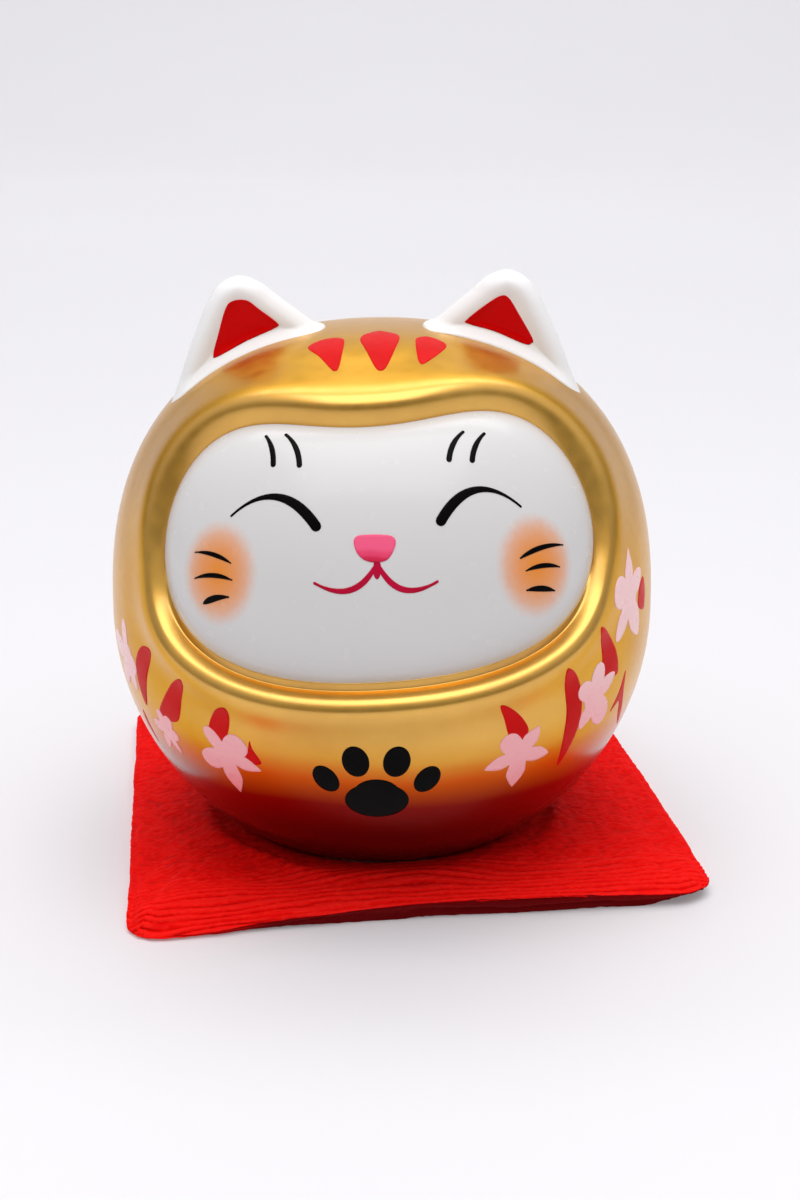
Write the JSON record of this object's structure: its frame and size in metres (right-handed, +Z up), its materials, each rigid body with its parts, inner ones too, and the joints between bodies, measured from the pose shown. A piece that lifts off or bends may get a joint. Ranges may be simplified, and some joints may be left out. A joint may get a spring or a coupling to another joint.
{
  "type": "cat daruma figurine on a cushion",
  "caption": "Round gold-glazed ceramic cat daruma with white face and ears that lifts off a thin square red crepe cushion.",
  "frame": {"origin": "on the cushion's underside, straight below the doll's vertical axis", "axes": "+Z up, the doll faces -Y, +X to the right of someone looking at its face"},
  "size_m": [0.1116, 0.1176, 0.1047],
  "materials": {
    "gold_glaze": "satin metallic gold lustre, fading through amber to deep red at the base",
    "bare_ceramic": "unglazed, matt",
    "white_glaze": "glossy",
    "red_glaze": "glossy",
    "black_glaze": "glossy",
    "pink_glaze": "glossy",
    "crimson_glaze": "glossy",
    "orange_blush": "glossy, airbrushed with a soft edge",
    "blossom_pink": "satin",
    "red_crepe": "crinkled crepe weave with fine cross ribs",
    "wadding": "soft, matt"
  },
  "bodies": {
    "cushion": {"cushion_cover_top": "red_crepe", "cushion_cover_bottom": "red_crepe", "cushion_padding": "wadding"},
    "doll": {"body_shell": "gold_glaze", "foot_ring": "bare_ceramic", "face_panel": "white_glaze", "ear_left": "white_glaze", "ear_right": "white_glaze", "inner_ear_left": "red_glaze", "inner_ear_right": "red_glaze", "forehead_marks": "red_glaze", "robe_strokes_left": "red_glaze", "robe_strokes_right": "red_glaze", "eyebrows": "black_glaze", "eye_left": "black_glaze", "eye_right": "black_glaze", "whiskers_left": "black_glaze", "whiskers_right": "black_glaze", "belly_emblem": "black_glaze", "nose": "pink_glaze", "mouth": "crimson_glaze", "cheek_left": "orange_blush", "cheek_right": "orange_blush", "blossoms_left": "blossom_pink", "blossoms_right": "blossom_pink"}
  },
  "joints": [
    {"name": "doll_lift", "type": "slide", "parent": "cushion", "child": "doll", "axis": [0, 0, 1], "range_m": [0, 0.06]}
  ]
}
